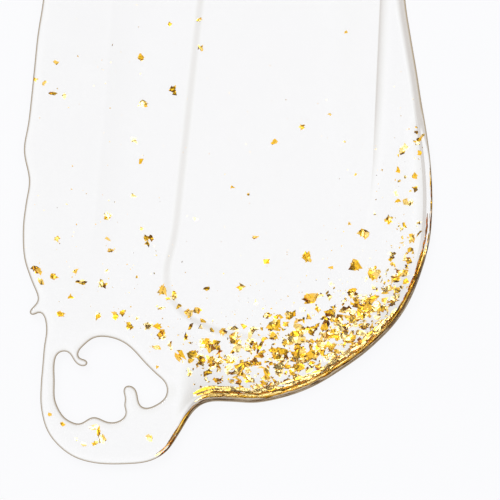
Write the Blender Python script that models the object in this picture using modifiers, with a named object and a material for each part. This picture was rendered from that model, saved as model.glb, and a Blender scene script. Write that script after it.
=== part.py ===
"""A smear of clear gel with gold leaf flakes in it, spread by one stroke of a blade on a flat surface.

Metres, +Z up. The stroke started at +Y and ended at the thick front at -Y; +X is to its right.
The origin is under the middle of the smear, in the plane that it lies on.
"""

import math
import random

import bmesh
import bpy
from mathutils import Matrix, Vector
from mathutils.bvhtree import BVHTree
from mathutils.geometry import delaunay_2d_cdt

MM = 0.001

# Depths of the gel, away from its rim
LANE_DEPTH = 1.3 * MM
LEFT_DEPTH = 1.7 * MM
BEAD_DEPTH = 2.3 * MM
FRONT_DEPTH = 2.8 * MM
LOBE_DEPTH = 1.6 * MM
LANE_STEP = 2.4 * MM  # width of the slope from the swept lane up to what surrounds it

# The depth changes between the first and the second of these lines
BEAD_X = (0.0 * MM, 12.0 * MM)
FRONT_X = (-10.0 * MM, -3.0 * MM)
FRONT_Y = (-14.0 * MM, -22.0 * MM)
LOBE_X = (-4.0 * MM, -9.0 * MM)
LOBE_Y = (-23.0 * MM, -29.0 * MM)

# The sides and the end of the swept lane
LANE_LEFT = -5.4 * MM
LANE_LEAN = 0.115
LANE_RIGHT = 18.6 * MM
LANE_BEND_FROM = 1.0 * MM
LANE_BEND = 0.0105 / MM
LANE_END_X = 3.5 * MM
LANE_END_Y = -24.3 * MM
LANE_END_BEND_LEFT = 0.035 / MM
LANE_END_BEND_RIGHT = 0.045 / MM

# The rounded rim: a low upright wall, then a quarter of an ellipse up to the full depth
RIM_WALL = 0.25 * MM
RIM_WIDTH_SHARE = 0.85  # of the local depth
RIM_RINGS = (0.2 * MM, 0.6 * MM)  # how far inside the rim the points that follow it lie
RING_FIT = 0.9  # a point is left out when it is nearer to the rim than this share of its own ring's distance
RING_GAP = 0.6 * MM  # between the inner ring and the nearest point of the grid
GRID_STEP = 1.5 * MM
TRIANGLE_ANGLE = math.radians(60)  # the grid's triangles have equal sides
OUTLINE_STEPS = 4  # straight steps between two of an outline's points
WINDOW_STEPS = 3
CDT_INSIDE = 1  # the triangles inside the outline only
CDT_EPSILON = 0.00001 * MM
SHARP_ANGLE = math.radians(40)

# The gold leaf
LEAF_THICKNESS = 0.1 * MM
LEAF_CORNERS = (5, 8)
LEAF_REACH = (0.72, 1.0)  # of a corner, as a share of the leaf's half width or half length
LEAF_TURN = 0.35  # either way, in radians
LEAF_CRUMPLE = 0.11 * MM  # how far a corner stands above or below the leaf's level
LEAF_LEVEL = 0.42  # height of a leaf in the gel, as a share of the depth there
LEAF_SEED = 7
CLEARANCE = 0.3 * MM
POCKET_SIDES = 8
POCKET_BELOW = 1.0 * MM  # how far a pocket's cutter reaches below the base

# Each outline goes anticlockwise seen from above, in millimetres
START_MM = [(22.2, 17.1), (21.8, 24.0), (20.2, 31.0), (16.2, 36.8), (9.0, 40.2), (0.0, 41.0)]
START_MM += [(-9.0, 40.2), (-16.5, 36.8), (-20.9, 31.0), (-22.4, 24.0)]
LEFT_MM = [(-23.1, 17.1), (-23.8, 12.6), (-24.3, 7.7), (-24.9, 2.1), (-25.5, -1.7), (-24.85, -5.4)]
LEFT_MM += [(-25.28, -8.4), (-25.62, -11.4), (-25.48, -15.0), (-24.65, -17.75), (-23.7, -20.2)]
LEFT_TAB_MM = [(-24.3, -21.2), (-24.9, -21.9), (-24.4, -22.4), (-23.5, -21.9)]
LOBE_MM = [(-22.9, -22.6), (-22.7, -24.3), (-22.98, -26.2), (-23.18, -28.6), (-23.38, -31.0), (-23.38, -33.7)]
LOBE_MM += [(-22.7, -36.5), (-21.25, -38.55), (-19.1, -40.1), (-16.3, -40.85), (-12.8, -40.93)]
LOBE_MM += [(-9.85, -40.58), (-7.65, -39.33), (-6.1, -37.15), (-4.8, -35.0), (-3.6, -33.7), (-2.1, -33.12)]
FRONT_MM = [(0.3, -33.12), (3.8, -33.23), (7.76, -32.36), (10.86, -31.14), (13.5, -29.6), (16.69, -27.4)]
FRONT_MM += [(19.19, -25.2), (20.98, -23.26), (22.55, -20.88), (23.79, -18.07), (24.76, -15.05)]
RIGHT_MM = [(25.31, -12.52), (25.55, -9.4), (25.55, -6.4), (25.3, -2.8), (24.77, 1.1), (24.2, 4.4)]
RIGHT_MM += [(23.6, 8.3), (22.9, 12.4)]
OUTLINE_MM = START_MM + LEFT_MM + LEFT_TAB_MM + LOBE_MM + FRONT_MM + RIGHT_MM

WINDOW_MM = [(-7.58, -31.57), (-7.97, -30.57), (-8.96, -29.68), (-10.43, -28.23), (-11.65, -26.86)]
WINDOW_MM += [(-12.9, -25.8), (-14.43, -25.17), (-15.88, -25.0), (-16.93, -25.24), (-17.92, -26.03)]
WINDOW_MM += [(-18.7, -26.9)]
WINDOW_TONGUE_MM = [(-18.6, -27.7), (-17.8, -27.8), (-17.4, -28.3), (-17.9, -28.75), (-18.8, -28.5)]
WINDOW_TONGUE_MM += [(-19.4, -27.7)]
WINDOW_LEFT_MM = [(-19.8, -27.0), (-20.6, -26.8), (-21.4, -27.3), (-21.67, -28.6), (-21.63, -30.5)]
WINDOW_LEFT_MM += [(-21.63, -32.6), (-21.2, -33.9), (-20.5, -35.0), (-19.6, -35.6), (-18.6, -35.9)]
WINDOW_LEFT_MM += [(-17.8, -35.5), (-17.1, -35.05), (-16.3, -35.07), (-15.2, -35.6), (-14.2, -35.7)]
WINDOW_LEFT_MM += [(-13.2, -35.3), (-12.7, -34.5)]
WINDOW_TAB_MM = [(-13.0, -33.6), (-12.8, -32.7), (-13.1, -31.85), (-12.86, -31.15), (-12.17, -31.08)]
WINDOW_TAB_MM += [(-11.6, -31.4), (-11.3, -32.1), (-11.2, -32.9), (-10.87, -33.71), (-10.0, -33.9)]
WINDOW_TAB_MM += [(-8.96, -33.49), (-7.9, -32.7)]
WINDOW_OUTLINE_MM = WINDOW_MM + WINDOW_TONGUE_MM + WINDOW_LEFT_MM + WINDOW_TAB_MM

# Each leaf: x, y, width and length, in millimetres
LEAVES_MM = {
    "left": [
        (-10.9, 9.9, 1.2, 1.2),
        (-6.7, 5.6, 1.6, 1.9),
        (-10.6, 4.1, 1.4, 1.1),
        (-11.7, -0.4, 1.0, 1.1),
        (-14.9, -9.9, 1.2, 1.2),
        (-9.8, -12.9, 1.6, 1.9),
        (-21.4, 9.3, 1.0, 0.7),
        (-21.4, -12.8, 1.0, 1.1),
        (-23.5, -16.9, 1.0, 1.1),
        (-19.0, -16.8, 0.9, 0.9),
        (-15.7, -18.4, 1.4, 1.5),
        (-20.9, -22.2, 1.4, 1.0),
        (-16.3, -22.3, 0.9, 1.2),
        (-14.1, -22.3, 1.4, 1.2),
    ],
    "lane": [
        (-3.5, 14.6, 1.1, 0.8),
        (-3.4, 11.1, 0.9, 1.3),
        (9.4, 1.2, 1.1, 1.0),
        (5.8, -0.6, 1.1, 0.8),
        (1.8, -18.9, 1.6, 1.4),
        (9.9, -15.1, 1.7, 1.8),
        (-2.7, -19.0, 1.2, 0.7),
    ],
    "bead": [
        (22.0, -1.6, 1.3, 1.9),
        (23.3, -4.9, 1.0, 1.2),
        (22.4, -8.1, 1.0, 1.1),
        (20.2, -10.3, 1.5, 1.5),
        (17.0, -12.0, 2.0, 1.7),
        (23.0, -12.8, 1.1, 1.7),
        (18.3, -17.2, 2.1, 1.9),
    ],
    "front": [
        (-8.1, -19.1, 1.3, 1.8),
        (-5.0, -22.1, 1.5, 1.2),
        (-8.2, -24.8, 1.4, 1.6),
        (-5.9, -27.3, 2.1, 2.0),
        (-2.7, -25.7, 1.7, 1.8),
        (-2.5, -29.4, 1.5, 1.2),
        (0.4, -27.8, 1.4, 1.4),
        (0.7, -24.8, 1.5, 1.2),
        (4.1, -27.1, 1.7, 1.2),
        (5.7, -23.4, 2.3, 1.7),
        (10.2, -20.3, 2.3, 1.7),
        (13.0, -22.1, 1.9, 1.6),
        (15.6, -19.4, 1.5, 1.2),
        (17.5, -21.6, 2.3, 1.4),
        (20.9, -17.8, 1.4, 1.2),
        (15.1, -25.3, 1.7, 1.5),
        (9.3, -25.6, 1.9, 1.1),
        (9.0, -28.7, 2.0, 1.1),
        (12.3, -27.6, 1.2, 1.2),
        (4.9, -30.2, 1.5, 1.1),
    ],
    "lobe": [
        (-15.7, -37.8, 1.1, 1.7),
        (-9.8, -37.6, 1.4, 1.0),
    ],
}

GEL_COLOUR = (0.96, 0.96, 0.95, 1.0)
GEL_IOR = 1.4
GEL_ROUGHNESS = 0.03
GOLD_COLOUR = (0.83, 0.55, 0.13, 1.0)
GOLD_ROUGHNESS = 0.25


def clear_scene():
    for obj in list(bpy.data.objects):
        bpy.data.objects.remove(obj)


def new_collection(name):
    collection = bpy.data.collections.new(name)
    bpy.context.scene.collection.children.link(collection)
    return collection


def principled(name, colour, roughness):
    material = bpy.data.materials.new(name)
    material.use_nodes = True
    shader = material.node_tree.nodes["Principled BSDF"]
    shader.inputs["Base Color"].default_value = colour
    shader.inputs["Roughness"].default_value = roughness
    return material, shader


def gel_material():
    material, shader = principled("clear_gel", GEL_COLOUR, GEL_ROUGHNESS)
    shader.inputs["Transmission Weight"].default_value = 1.0
    shader.inputs["IOR"].default_value = GEL_IOR
    return material


def gold_material():
    material, shader = principled("gold_leaf", GOLD_COLOUR, GOLD_ROUGHNESS)
    shader.inputs["Metallic"].default_value = 1.0
    return material


def smoothstep(start, end, value):
    """0 at start and before it, 1 at end and past it, and smooth between. The start may be the larger one."""
    t = min(max((value - start) / (end - start), 0.0), 1.0)
    return t * t * (3.0 - 2.0 * t)


def mix(a, b, share):
    return a + (b - a) * share


def lane_left(y):
    """The left side of the swept lane leans to the left towards the front."""
    return LANE_LEFT + LANE_LEAN * y


def lane_right(y):
    """The right side of the lane is straight at first, then bends left towards the front."""
    below = min(y - LANE_BEND_FROM, 0.0)
    return LANE_RIGHT - LANE_BEND * below * below


def lane_end(x):
    """The edge of the blade where it stopped: a shallow curve, lowest a little right of the lane's middle."""
    across = x - LANE_END_X
    return LANE_END_Y + (LANE_END_BEND_RIGHT if across > 0 else LANE_END_BEND_LEFT) * across * across


def gel_depth(x, y):
    """Depth of the gel away from its rim."""
    band = mix(LEFT_DEPTH, BEAD_DEPTH, smoothstep(*BEAD_X, x))
    band = mix(band, FRONT_DEPTH, smoothstep(*FRONT_Y, y) * smoothstep(*FRONT_X, x))
    band = mix(band, LOBE_DEPTH, smoothstep(*LOBE_Y, y) * smoothstep(*LOBE_X, x))
    outside_lane = max(lane_left(y) - x, x - lane_right(y), lane_end(x) - y)
    return mix(LANE_DEPTH, band, smoothstep(-LANE_STEP / 2, LANE_STEP / 2, outside_lane))


def gel_height(x, y, rim_distance):
    """Height of the gel's surface above its base, with the rounded rim."""
    depth = gel_depth(x, y)
    inward = 1.0 - min(rim_distance / (RIM_WIDTH_SHARE * depth), 1.0)
    return mix(RIM_WALL, depth, math.sqrt(1.0 - inward * inward))


def smooth_loop(points_mm, steps):
    """A closed smooth curve through the points, as points in metres."""
    knots = [Vector(p) * MM for p in points_mm]
    loop = []
    for i in range(len(knots)):
        before, start, end, after = (knots[(i + k) % len(knots)] for k in (-1, 0, 1, 2))
        leave = (end - before) / 2
        arrive = (after - start) / 2
        for step in range(steps):
            t = step / steps
            loop.append(
                start * (2 * t**3 - 3 * t**2 + 1)
                + leave * (t**3 - 2 * t**2 + t)
                + end * (3 * t**2 - 2 * t**3)
                + arrive * (t**3 - t**2)
            )
    return loop


def encloses(loop, x, y):
    """True where a point lies inside a closed loop: a line to its right crosses it an odd number of times."""
    inside = False
    for a, b in zip(loop, loop[1:] + loop[:1]):
        if (a.y > y) != (b.y > y) and x < a.x + (b.x - a.x) * (y - a.y) / (b.y - a.y):
            inside = not inside
    return inside


def in_gel(loops, x, y):
    outline, window = loops
    return encloses(outline, x, y) and not encloses(window, x, y)


def rim_walls(loops):
    """Upright faces along both loops, for measuring how far a point is from the rim."""
    verts = []
    faces = []
    for loop in loops:
        first = len(verts)
        count = len(loop)
        verts += [Vector((p.x, p.y, z)) for p in loop for z in (-MM, MM)]
        for i in range(count):
            here, there = first + 2 * i, first + 2 * ((i + 1) % count)
            faces.append((here, there, there + 1, here + 1))
    return BVHTree.FromPolygons(verts, faces)


def rim_distance(walls, x, y):
    return walls.find_nearest(Vector((x, y, 0.0)))[3]


def ring_points(loops, walls):
    """Points that follow the rim inside the gel, left out where the rim bends too tightly for them."""
    points = []
    for loop, side in zip(loops, (1.0, -1.0)):
        for width in RIM_RINGS:
            for before, here, after in zip(loop[-1:] + loop[:-1], loop, loop[1:] + loop[:1]):
                along = (after - before).normalized()
                point = here + Vector((-along.y, along.x)) * (side * width)
                if rim_distance(walls, *point) > RING_FIT * width and in_gel(loops, *point):
                    points.append(point)
    return points


def grid_points(loops, walls):
    """Staggered points over the gel, clear of the rings along its rim."""
    points = []
    row_step = GRID_STEP * math.sin(TRIANGLE_ANGLE)
    half_width = max(abs(p.x) for p in loops[0])
    half_length = max(abs(p.y) for p in loops[0])
    rows = math.ceil(half_length / row_step)
    columns = math.ceil(half_width / GRID_STEP) + 1
    for row in range(-rows, rows + 1):
        for column in range(-columns, columns + 1):
            point = Vector(((column + row % 2 / 2) * GRID_STEP, row * row_step))
            if rim_distance(walls, *point) > RIM_RINGS[-1] + RING_GAP and in_gel(loops, *point):
                points.append(point)
    return points


def triangles(loops, inner_points):
    """The corners and triangles that fill the gel's outline, with an edge along every step of both loops."""
    corners = [p for loop in loops for p in loop] + inner_points
    edges = []
    first = 0
    for loop in loops:
        edges += [(first + i, first + (i + 1) % len(loop)) for i in range(len(loop))]
        first += len(loop)
    filled = delaunay_2d_cdt(corners, edges, [], CDT_INSIDE, CDT_EPSILON, False)
    middles = [(f, sum((corners[i] for i in f), Vector((0.0, 0.0))) / 3) for f in filled[2]]
    return corners, [f for f, middle in middles if in_gel(loops, *middle)]


def gel_mesh():
    """The gel without its pockets. No primitive has such a surface, so its faces are laid out here.

    The surface and the base are filled separately, because the flat base needs no points but its outline's.
    """
    loops = [smooth_loop(OUTLINE_MM, OUTLINE_STEPS), smooth_loop(WINDOW_OUTLINE_MM, WINDOW_STEPS)]
    walls = rim_walls(loops)
    gel = bmesh.new()
    corners, surface = triangles(loops, ring_points(loops, walls) + grid_points(loops, walls))
    top = [gel.verts.new((x, y, gel_height(x, y, rim_distance(walls, x, y)))) for x, y in corners]
    for face in surface:
        gel.faces.new([top[i] for i in face])
    corners, base = triangles(loops, [])
    bottom = [gel.verts.new((x, y, 0.0)) for x, y in corners]
    for face in base:
        gel.faces.new([bottom[i] for i in reversed(face)])
    first = 0
    for loop in loops:
        ring = list(range(first, first + len(loop)))
        for i, j in zip(ring, ring[1:] + ring[:1]):
            gel.faces.new((bottom[i], bottom[j], top[j], top[i]))
        first += len(loop)
    bmesh.ops.recalc_face_normals(gel, faces=gel.faces)
    mesh = bpy.data.meshes.new("gel_body")
    gel.to_mesh(mesh)
    gel.free()
    return mesh


def make_gel(collection, cutters, material):
    mesh = gel_mesh()
    mesh.shade_smooth()
    mesh.set_sharp_from_angle(angle=SHARP_ANGLE)
    mesh.materials.append(material)
    gel = bpy.data.objects.new("gel_body", mesh)
    collection.objects.link(gel)
    pockets = gel.modifiers.new("pockets", "BOOLEAN")
    pockets.operation = "DIFFERENCE"
    pockets.solver = "EXACT"
    pockets.operand_type = "COLLECTION"
    pockets.collection = cutters


def make_leaf(name, width, length, draw, material):
    """A thin crumpled polygon of metal leaf with uneven corners."""
    leaf = bmesh.new()
    corners = draw.randint(*LEAF_CORNERS)
    bmesh.ops.create_circle(leaf, cap_ends=True, cap_tris=True, segments=corners, radius=0.5)
    for vert in leaf.verts:
        reach = draw.uniform(*LEAF_REACH)
        vert.co.x *= width * reach
        vert.co.y *= length * reach
        vert.co.z = draw.uniform(-1.0, 1.0) * LEAF_CRUMPLE
    mesh = bpy.data.meshes.new(name)
    leaf.to_mesh(mesh)
    leaf.free()
    mesh.materials.append(material)
    obj = bpy.data.objects.new(name, mesh)
    solidify = obj.modifiers.new("thickness", "SOLIDIFY")
    solidify.thickness = LEAF_THICKNESS
    solidify.offset = 0.0
    return obj


def make_pocket(name, width, length, top):
    """The cutter for one leaf's pocket: clear of the leaf all round, and open at the gel's base."""
    to_flats = math.cos(math.pi / POCKET_SIDES)
    pocket = bmesh.new()
    bmesh.ops.create_cone(
        pocket,
        cap_ends=True,
        segments=POCKET_SIDES,
        radius1=1.0 / to_flats,
        radius2=1.0 / to_flats,
        depth=top + POCKET_BELOW,
    )
    bmesh.ops.scale(pocket, vec=(width / 2 + CLEARANCE, length / 2 + CLEARANCE, 1.0), verts=pocket.verts)
    bmesh.ops.translate(pocket, vec=(0.0, 0.0, (top - POCKET_BELOW) / 2), verts=pocket.verts)
    mesh = bpy.data.meshes.new(name)
    pocket.to_mesh(mesh)
    pocket.free()
    obj = bpy.data.objects.new(name, mesh)
    obj.hide_render = True
    obj.display_type = "WIRE"
    return obj


def place_leaves(collection, cutters, material):
    draw = random.Random(LEAF_SEED)
    for place, leaves in LEAVES_MM.items():
        for number, (x_mm, y_mm, width_mm, length_mm) in enumerate(leaves, start=1):
            x, y, width, length = x_mm * MM, y_mm * MM, width_mm * MM, length_mm * MM
            name = f"leaf_{place}_{number:02d}"
            level = gel_depth(x, y) * LEAF_LEVEL
            turn = draw.uniform(-LEAF_TURN, LEAF_TURN)
            leaf = make_leaf(name, width, length, draw, material)
            leaf.location = (x, y, level)
            leaf.rotation_euler = (0.0, 0.0, turn)
            collection.objects.link(leaf)
            top = level + LEAF_CRUMPLE + LEAF_THICKNESS + CLEARANCE
            pocket = make_pocket(f"pocket_{place}_{number:02d}", width, length, top)
            pocket.matrix_world = Matrix.Translation((x, y, 0.0)) @ Matrix.Rotation(turn, 4, "Z")
            cutters.objects.link(pocket)


def main():
    clear_scene()
    smear = new_collection("gold_flake_gel_smear")
    cutters = new_collection("pocket_cutters")
    place_leaves(smear, cutters, gold_material())
    make_gel(smear, cutters, gel_material())


main()
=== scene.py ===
"""The looks of the gold flake gel smear: clear gel with gold leaf in it, on a plain pale floor.

Metres, +Z up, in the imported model's own frame. The stroke started at +Y and ended at the thick front at -Y.
"""

import math

import bmesh
import bpy
import numpy as np
from mathutils import Matrix, Vector
from mathutils.bvhtree import BVHTree
from mathutils.geometry import delaunay_2d_cdt


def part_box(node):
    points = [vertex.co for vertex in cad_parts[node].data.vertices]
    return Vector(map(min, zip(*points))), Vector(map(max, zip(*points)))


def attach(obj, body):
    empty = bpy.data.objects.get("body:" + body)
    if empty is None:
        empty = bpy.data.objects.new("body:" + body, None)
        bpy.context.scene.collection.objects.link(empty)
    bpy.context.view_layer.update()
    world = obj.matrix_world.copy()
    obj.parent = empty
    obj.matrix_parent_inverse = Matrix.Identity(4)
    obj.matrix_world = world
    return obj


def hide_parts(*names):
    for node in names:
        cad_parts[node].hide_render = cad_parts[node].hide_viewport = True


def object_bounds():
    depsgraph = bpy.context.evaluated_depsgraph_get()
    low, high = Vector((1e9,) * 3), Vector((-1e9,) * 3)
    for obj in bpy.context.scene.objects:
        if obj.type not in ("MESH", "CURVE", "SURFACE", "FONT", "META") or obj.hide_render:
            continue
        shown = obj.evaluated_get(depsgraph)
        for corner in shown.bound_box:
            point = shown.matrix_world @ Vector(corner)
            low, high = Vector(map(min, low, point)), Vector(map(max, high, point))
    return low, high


MM = 0.001
SEED = 24

GEL_IOR = 1.4

# Depths of the gel, away from its rim
LANE_DEPTH = 1.3 * MM
LEFT_DEPTH = 1.35 * MM
BEAD_DEPTH = 1.9 * MM
FRONT_DEPTH = 2.05 * MM
LOBE_DEPTH = 1.2 * MM
BEAD_X = (0.0 * MM, 12.0 * MM)
FRONT_X = (-10.0 * MM, -3.0 * MM)
FRONT_Y = (-6.0 * MM, -26.0 * MM)
LOBE_X = (-3.0 * MM, -7.2 * MM)
LOBE_Y = (-23.0 * MM, -29.0 * MM)

# The swept lane: a soft step down into it on the left and round the end, a sharper fold on the right
LANE_RISE = (0.0 * MM, 13.0 * MM)
STEP_HEIGHT = 0.3 * MM
STEP_WIDTH = 1.4 * MM
STEP_BLEND = 6.0 * MM
STEP_FADE_X = (10.0 * MM, 0.0 * MM)
FOLD_HEIGHT = 0.55 * MM
FOLD_STEEP = (1.7 * MM, 0.85 * MM)
FOLD_GENTLE = 5.0 * MM
FOLD_FADE = (-24.0 * MM, 6.0 * MM)
FOLD_ROWS_MM = (-0.4, -0.2, -0.08, 0.0, 0.08, 0.18, 0.3, 0.44, 0.6, 0.8, 1.05, 1.4)
STREAK_X = -15.55 * MM
STREAK_LEAN = 0.085
STREAK_BEND = -0.0006 / MM
STREAK_HEIGHT = 0.055 * MM
STREAK_WIDTH = (0.35 * MM, 3.0 * MM)
STREAK_FADE = (-17.0 * MM, -10.0 * MM)
LANE_LEFT = -4.55 * MM
LANE_LEAN = 0.108
LANE_LEFT_BEND_FROM = -10.0 * MM
LANE_LEFT_BEND = 0.017 / MM
LANE_RIGHT = 18.2 * MM
LANE_RIGHT_LEAN = 0.045
LANE_BEND_FROM = -2.0 * MM
LANE_BEND = 0.0065 / MM
LANE_END_X = 3.5 * MM
LANE_END_Y = -24.3 * MM
LANE_END_BEND_LEFT = 0.035 / MM
LANE_END_BEND_RIGHT = 0.045 / MM

# The rim: how wide its round part is beside the depth, and the gentle shoulder behind it
RIM_NARROW = 0.12
RIM_WIDE = 1.1
RIM_WIDE_X = (5.0 * MM, 18.0 * MM)
RIM_WIDE_Y = (-3.0 * MM, 6.0 * MM)
SHOULDER_SHARE = (0.1, 0.4)
SHOULDER_WIDTH = (1.3 * MM, 2.9 * MM)
SHOULDER_START = (0.0 * MM, 0.7 * MM)
# The wall of the front and the low ridge along it
WALL_WIDTH = (1.5 * MM, 0.85 * MM)
WALL_WIDTH_Y = (-31.0 * MM, -14.0 * MM)
WALL_POWER = 3.2
WALL_X = (-8.0 * MM, -3.0 * MM)
WALL_FRONT_Y = (-10.0 * MM, -20.0 * MM)
RIDGE_HEIGHT = 0.1 * MM
RIDGE_AWAY = 1.0 * MM
RIDGE_WIDTH = 1.0 * MM
# Two fine steps along the bead on the right
BEAD_STEPS = (0.8 * MM, 1.02 * MM)
BEAD_STEP_HEIGHT = 0.06 * MM
BEAD_STEP_WIDTH = 0.14 * MM
BEAD_STEPS_X = (15.0 * MM, 20.0 * MM)
BEAD_STEPS_Y = (5.0 * MM, 0.0 * MM)
# The gel's mesh: rings of points inside the rim, a grid of triangles, and a chart of how far the rim is
RIM_RINGS_MM = (
    0.02, 0.06, 0.12, 0.2, 0.3, 0.4, 0.5, 0.6, 0.7, 0.8, 0.87, 0.94, 1.02, 1.09, 1.16, 1.25, 1.4, 1.6, 1.85,
    2.1, 2.4,
)
RIM_STEP = 0.25 * MM
LOOP_PARTS = 8
LOOP_SMOOTHING = 4
GRID_STEP = 0.34 * MM
GRID_CLEAR_MM = 0.3
FOLD_CLEAR_MM = 0.1
RING_SHARE = 0.93
SHARP_FROM = math.radians(80)
WELD = 0.001 * MM
LEVEL = 0.01 * MM
CDT_EPSILON = 0.00001 * MM
CHART_HALF = 43.0 * MM
CHART_STEP = 0.4 * MM

# The gold leaf
LEAF_THICKNESS = 0.02 * MM
LEAF_CLEARANCE = 0.08 * MM
# A torn outline: fewest corners and one over the most, and how far they reach, with one tear further in
LEAF_CORNERS = (4, 10)
LEAF_UNEVEN = 0.4
LEAF_REACH = (0.36, 1.15)
LEAF_TEAR = (0.2, 0.4)
# How far off the middle a crease may lie, beside the leaf's size
CREASE_SHIFT = 0.315
CREASE_SLOPE = (0.5, 1.4)
CUT_EPSILON = 1e-6

# Leaves pushed up against the front: where they begin and end, how far from the rim, their sizes in mm
RIM_FROM = (-3.5 * MM, -1.0 * MM)
RIM_UNTIL = (-7.0 * MM, -17.0 * MM)
RIM_PILE = 1.6 * MM
RIM_AWAY = 1.5 * MM
RIM_BARE = 0.4 * MM
RIM_SIZES = (0.25, 1.4)
RIM_SIZE_POWER = 1.4
RIM_SHARES_UP = (0.2, 0.95)

# Ribbons of leaf combed along the rim, in mm and radians: run along it from the origin, how far in at both
# ends, spread, number to a mm, longest, widest, least and most lean, least and most depth under the surface
RIBBON_ORIGIN_MM = (-14.7, -40.9)
RIBBONS_MM = (
    (14.0, 49.0, 0.98, 0.5, 0.08, 6.0, 5.0, 0.5, -0.35, 0.05, 0.2, 0.35),
    (14.5, 42.0, 1.65, 1.0, 0.2, 8.0, 2.5, 0.5, -0.42, -0.1, 0.05, 0.25),
    (5.0, 16.0, 0.3, 0.35, 0.14, 4.0, 5.0, 0.18, -0.3, 0.9, 0.02, 0.2),
    (8.0, 56.0, 0.32, 0.1, 0.07, 2.2, 4.0, 0.07, 0.5, 0.9, 0.02, 0.1),
    (14.0, 50.0, 0.85, 0.44, 0.12, 4.0, 4.0, 0.16, -0.35, 0.1, 0.02, 0.12),
    (16.0, 56.0, 1.22, 0.58, 0.05, 4.5, 1.6, 0.22, 0.55, 0.85, 0.02, 0.06),
    (46.0, 62.0, 0.26, 0.12, 0.07, 4.0, 2.0, 0.12, -0.1, 0.8, 0.02, 0.15),
)
RIBBON_STEP = 2
RIBBON_LENGTHS = (0.25, 1.0)
RIBBON_WIDTHS = (0.35, 1.0)
RIBBON_BLUNT = 0.6
RIBBON_WANDER = 0.012 * MM
RIBBON_TWIST = 0.04
RIBBON_RIM_MM = 0.05
# A ribbon's painted light level before its lean: the further it leans away from the light, the redder it is
# painted
RIBBON_PAINTED_LIGHT = 0.6
SLOPE_STEP = 0.03 * MM
SLOPE_STEPS = np.array([-SLOPE_STEP, SLOPE_STEP])
STEEPEST = 1.2

# A leaf's tone: pale mirrors the light, gold mirrors the sky above, and dark looks away from both. The tone
# also sets a painted light level in the leaf's colour: a painted highlight for pale, painted shade for dark
LEAF_TONES = ("pale", "gold", "dark")
LEAF_TONE_SHARES = (0.34, 0.5, 0.16)
TONE_PAINTED_LIGHT = {"pale": 0.85, "gold": 0.5, "dark": 0.15}
PAINTED_LIGHT_SPREAD = 0.15
# The heading of the large soft light
KEY_AZIMUTH = math.radians(116)
# Least and most lean, about which heading and how far to either side of it, in radians
TONE_LEANS = {
    "pale": (0.17, 0.32, KEY_AZIMUTH + math.pi / 2, 0.5),
    "gold": (0.0, 0.15, math.pi, math.pi),
    "dark": (0.1, 0.3, KEY_AZIMUTH - math.pi / 2, 1.5),
}
# Fewest creases, one over the most, and how steep they are
TONE_CREASES = {"pale": (3, 6, 0.13), "gold": (4, 8, 0.2), "dark": (6, 10, 0.3)}
# A large leaf is crumpled up of several parts, each a share of its size
CRUMPLED_FROM = 0.95 * MM
CRUMPLED_PARTS = (2, 6)
CRUMPLED_SHARE = (0.55, 0.85)
CRUMPLED_UNEVEN = 0.6
PLACED_SHARES_UP = (0.3, 0.95)
# The CAD leaves that are not gold
NODE_TONES = {
    "pale": ("leaf_left_03", "leaf_left_04", "leaf_left_05", "leaf_left_13", "leaf_front_07", "leaf_bead_01"),
    "dark": ("leaf_left_02", "leaf_lane_07", "leaf_bead_05", "leaf_front_06", "leaf_front_17"),
}

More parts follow.
